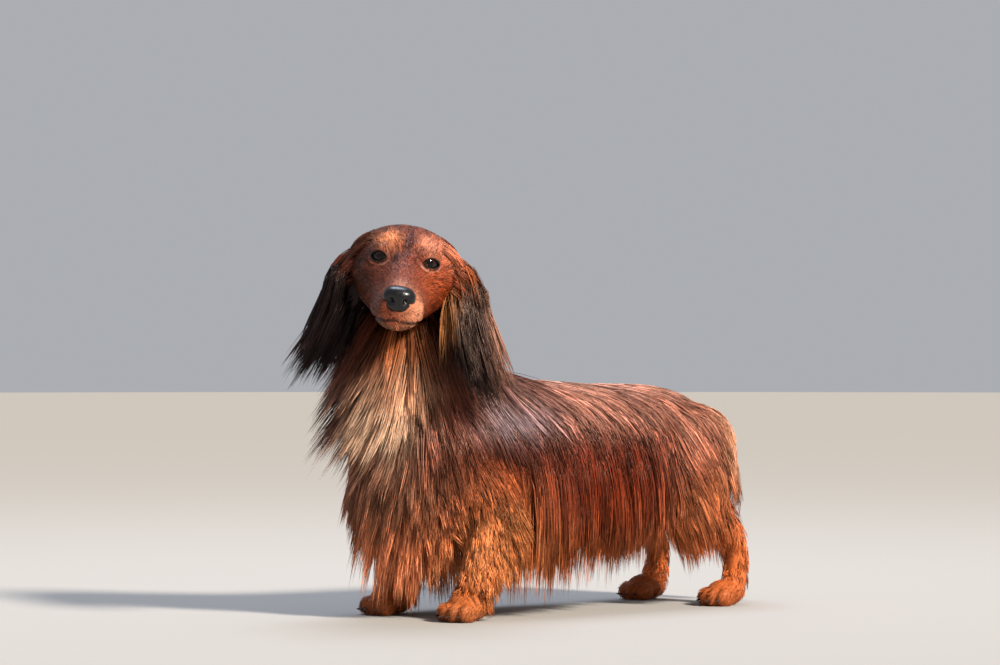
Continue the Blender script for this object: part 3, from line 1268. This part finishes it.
# Silky dog hair: each tuft catches a soft light along its length, darker towards the root
hair, tree, shader = new_material("silky_hair")
shade = add(tree, "Attribute", {"attribute_name": "coat_colour"})
place_node = add(tree, "TexCoord")
streaks = add(tree, "TexNoise", {}, {"Scale": 420.0, "Detail": 2.0}, {"Vector": place_node.outputs["Object"]})
vary = add(tree, "MapRange", {}, {"From Min": 0.3, "From Max": 0.7, "To Min": 0.8, "To Max": 1.2}, {"Value": streaks.outputs["Fac"]})
tinted = add(tree, "VectorMath", {"operation": "SCALE"}, {}, {"Vector": shade.outputs["Color"], "Scale": vary.outputs["Result"]})
tree.links.new(tinted.outputs["Vector"], shader.inputs["Base Color"])
shader.inputs["Roughness"].default_value = 0.3
shader.inputs["IOR"].default_value = 1.4
shader.inputs["Specular Tint"].default_value = (*linear("#f0c8b4"), 1)


def tuft_colours(line, own, guide_count, kind, rings):
    """Each tuft's colours, ring by ring: the marking where it lies, its own tint, a dark root."""
    total = len(line)
    per = rings * 3 + 1
    stops = np.concatenate([np.repeat(np.arange(rings), 3), [rings]])
    at = line[:, :1] * 0.45 + line * 0.55
    colours = markings(at.reshape(-1, 3), np.repeat(kind, line.shape[1])).reshape(total, -1, 3)
    lock_tint = np.exp(rng.normal(0, 0.42, guide_count))[own]
    own_tint = np.exp(rng.normal(0, 0.34, total)) * lock_tint
    warm = rng.normal(0, 0.05, total)
    tint = np.stack([own_tint * (1 + warm), own_tint, own_tint * (1 - warm)], 1)
    fade = np.interp(np.arange(line.shape[1]) / rings, (0, 0.3, 1), (0.35, 0.85, 1.2))
    colours = colours * tint[:, None] * fade[None, :, None]
    colours = colours / np.maximum(colours.max(2, keepdims=True) / 0.92, 1)
    return np.clip(colours[:, stops], 0, 1).reshape(total, per, 3)


def coat_piece(name, chosen, region, thinned=1.0, stops=TUFT_STOPS):
    """One named piece of the coat from the chosen guide places."""
    comb, kept, count, width, *_ = REGIONS[region]
    chosen = chosen & (rng.random(len(chosen)) < kept * thinned)
    guides = grow(guide_points[chosen], guide_normals[chosen], guide_names[chosen], region)
    line, ways, own = tuft_paths(guides, guide_normals[chosen], region, count, stops)
    widths = width * rng.uniform(0.7, 1.3, len(line))
    kind = np.full(len(line), {"ear": 2, "crown": 1}.get(region, 0))
    colours = tuft_colours(line, own, len(guides), kind, len(stops))
    obj = tuft_mesh(name, line, ways, widths, colours, patches_at(line[:, 0]))
    obj.data.materials.append(hair)
    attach(obj, "root")
    return obj


def in_region(region):
    return guide_regions == region


on_torso = in_region("torso")
x, y, z = guide_points.T
on_chest = on_torso & (x < -150)
on_back = on_torso & ~on_chest & (guide_normals[:, 2] > 0.5)
on_belly = on_torso & ~on_chest & (guide_normals[:, 2] < -0.6)
on_flank = on_torso & ~on_chest & ~on_back & ~on_belly
coat_piece("coat_chest", on_chest, "chest", 0.9)
coat_piece("coat_back", on_back, "torso", 0.72, SHORT_HAIR_STOPS)
coat_piece("coat_belly", on_belly, "torso", 0.4, SHORT_HAIR_STOPS)
coat_piece("coat_flank_left", on_flank & (y < 0), "torso", 1.4)
coat_piece("coat_flank_right", on_flank & (y >= 0), "torso", 0.78)
coat_piece("coat_neck_left", in_region("neck") & (y < -8), "neck", 0.85)
coat_piece("coat_neck_right", in_region("neck") & (y >= -8), "neck", 0.55)
in_skull = to_head(guide_points)
on_crown = (guide_names == "head") & (np.abs(in_skull[:, 1]) > 27) & (in_skull[:, 0] < -12)
on_crown &= (in_skull[:, 2] > -34) & (in_skull[:, 0] > -70)
coat_piece("coat_crown", on_crown, "crown")
coat_piece("coat_ear_left", guide_names == "ear_left", "ear")
coat_piece("coat_ear_right", guide_names == "ear_right", "ear")
coat_piece("coat_forelegs", in_region("foreleg"), "foreleg", 1.0, SHORT_HAIR_STOPS)
coat_piece("coat_hindlegs", in_region("hindleg"), "hindleg", 0.64, SHORT_HAIR_STOPS)
coat_piece("coat_tail", in_region("tail"), "tail")

# Short fur of the face and feet: close, fine hair a few millimetres long, lying back from the
# nose and down the toes. It softens the outline and takes the light in small strokes.
SHORT_STOPS = (0.0, 0.5)
FACE_LENGTHS = ((60, 3.6), (20, 5.4), (-40, 8.0), (-80, 14.0))
FACE_WIDTH = 0.72
STROKE_WIDTH = 2.2  # hairs of one small lock share a tint
STROKE_LENGTH = 9.0
FEET_LENGTH = 5.0


def face_way(local):
    """The lie of the face's hair: back from the nose, up over the brow, down the cheeks."""
    way = np.tile((-1.0, 0.0, 0.0), (len(local), 1))
    side = np.sign(local[:, 1])
    cheek = step_up(-local[:, 2], 0, 40) * step_up(-local[:, 0], -40, 20)
    way[:, 2] -= 0.9 * cheek
    brow = bell(local[:, 0] - 2, 16) * step_up(local[:, 2], 0, 14)
    way[:, 2] += 0.6 * brow
    way[:, 1] += side * (0.35 * brow + 0.25 * cheek)
    return unit(way)


def short_tufts(name, points, normals, ways, lengths, own, width, kind, lift, slot_name):
    lengths = (lengths * rng.uniform(0.7, 1.3, len(points)))[:, None]
    ways = unit(ways + rng.normal(0, 0.12, ways.shape))
    flat = unit(ways - normals * (ways * normals).sum(1)[:, None])
    root = points - normals * 0.4
    half_way = points + flat * lengths * 0.5 + normals * (0.22 + lift * lengths)
    tip = points + flat * lengths + normals * (0.05 + lift * 1.2 * lengths)
    line = np.stack([root, half_way, tip], 1)
    line[..., 2] = np.maximum(line[..., 2], 0.6)
    colours = tuft_colours(line, own, own.max() + 1, kind, 2)
    widths = width * rng.uniform(0.7, 1.3, len(points))
    obj = tuft_mesh(name, line, normals, widths, colours, patches_at(points))
    obj.data.materials.append(hair)
    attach(obj, "root")


fur_points, fur_normals = scattered_roots(300000)
fur_local = to_head(fur_points)
near_head = (np.abs(fur_local[:, 1]) < 70) & (fur_local[:, 0] > -100) & (np.abs(fur_local[:, 2]) < 75)
near_feet = fur_points[:, 2] < 32
tried = (near_head & (rng.random(len(fur_points)) < 0.54)) | (near_feet & (rng.random(len(fur_points)) < 0.35))
fur_points, fur_normals, fur_local = fur_points[tried], fur_normals[tried], fur_local[tried]
fur_names = nearest_form(fur_points)
on_face = fur_names == "head"
clear = np.ones(len(fur_points), bool)
for side in (1, -1):
    away = fur_local - (EYE_CENTRE[0], EYE_CENTRE[1] * side, EYE_CENTRE[2])
    turned = away @ np.array(Matrix.Rotation(EYE_TURN * side, 3, "Z"))
    slit_away = (turned[:, 1] / (EYE_SLIT[0] + 1.0)) ** 2 + (turned[:, 2] / (EYE_SLIT[1] + 0.8)) ** 2
    clear &= ~((slit_away < 1) & (turned[:, 0] > 0))
clear &= ~((np.abs(fur_local[:, 2] - mouth_height(fur_local[:, 1])) < 1.9) & (fur_local[:, 0] > MOUTH_CORNER))
nose_away = (fur_local - NOSE_CENTRE) / (np.array(NOSE_HALF) + 0.6)
clear &= (nose_away**2).sum(1) > 1
on_face &= clear
round_head = np.floor(np.arctan2(fur_local[:, 1], fur_local[:, 2] + 15) * 34 / STROKE_WIDTH)
along_head = np.floor(fur_local[:, 0] / STROKE_LENGTH + (round_head * 0.618) % 1)
_, strokes_own = np.unique(round_head * 1000 + along_head, return_inverse=True)
face_ways = face_way(fur_local) @ HEAD_TURNED.T
face_lengths = np.interp(-fur_local[:, 0], *zip(*((-a, b) for a, b in FACE_LENGTHS)))
for name, chosen in (
    ("fur_face_left", on_face & (fur_local[:, 1] > 0)),
    ("fur_face_right", on_face & (fur_local[:, 1] <= 0)),
):
    kind = np.ones(chosen.sum(), int)
    where = fur_points[chosen], fur_normals[chosen], face_ways[chosen], face_lengths[chosen]
    short_tufts(name, *where, strokes_own[chosen], FACE_WIDTH, kind, 0.05, "coat_red")
on_feet = np.char.startswith(fur_names, "paw") & (fur_points[:, 2] > 1.5)
feet_ways = np.tile((-0.75, 0.0, -0.65), (on_feet.sum(), 1))
feet_lengths = np.full(on_feet.sum(), FEET_LENGTH)
where = fur_points[on_feet], fur_normals[on_feet], feet_ways, feet_lengths
each = np.arange(on_feet.sum())
short_tufts("fur_feet", *where, each, 0.7, each * 0, 0.06, "coat_orange")

# The studio: a pale level floor, large soft lights above and to the right with a cooler one
# behind for the sheen on the back, and the camera level at the height of the dog's shoulder.
bm = bmesh.new()
bmesh.ops.create_circle(bm, cap_ends=True, radius=14, segments=96)
floor_mesh = bpy.data.meshes.new("floor")
bm.to_mesh(floor_mesh)
bm.free()
floor = bpy.data.objects.new("floor", floor_mesh)
bpy.context.scene.collection.objects.link(floor)
material, tree, shader = new_material("pale_floor")
shader.inputs["Base Color"].default_value = (*linear("#a4a29f"), 1)
shader.inputs["Roughness"].default_value = 0.9
shader.inputs["Specular IOR Level"].default_value = 0.1
floor.data.materials.append(material)

CAMERA_AT = Vector((-2.483, -2.877, 0.2775))
CAMERA_WAY = Vector((0.643, 0.766, 0.0))
camera = bpy.data.objects.new("camera", bpy.data.cameras.new("camera"))
bpy.context.scene.collection.objects.link(camera)
camera.location = CAMERA_AT + SHIFT
camera.rotation_euler = CAMERA_WAY.to_track_quat("-Z", "Y").to_euler()
camera.data.lens = 136.8
camera.data.sensor_width = 36
bpy.context.scene.camera = camera


def soft_light(name, place, size, watts, colour):
    light = bpy.data.lights.new(name, "AREA")
    light.shape = "DISK"
    light.size = size
    light.energy = watts
    light.color = linear(colour)
    lamp = bpy.data.objects.new(name, light)
    bpy.context.scene.collection.objects.link(lamp)
    lamp.location = place
    lamp.rotation_euler = (Vector((0, 0, 0.2)) - Vector(place)).to_track_quat("-Z", "Y").to_euler()


sun = bpy.data.lights.new("key", "SUN")
sun.energy = 7.6
sun.angle = math.radians(9)
sun.color = linear("#fff3e4")
key = bpy.data.objects.new("key", sun)
bpy.context.scene.collection.objects.link(key)
key.rotation_euler = Vector((0.06, -0.84, 0.54)).to_track_quat("Z", "Y").to_euler()
soft_light("sky_light", (0.2, 0.5, 2.6), 1.6, 50, "#dfeaff")
world = bpy.data.worlds.new("studio")
bpy.context.scene.world = world
world.use_nodes = True
world.node_tree.nodes["Background"].inputs["Color"].default_value = (*linear("#e9ecf2"), 1)
world.node_tree.nodes["Background"].inputs["Strength"].default_value = 0.5
bpy.context.scene.view_settings.view_transform = "Standard"
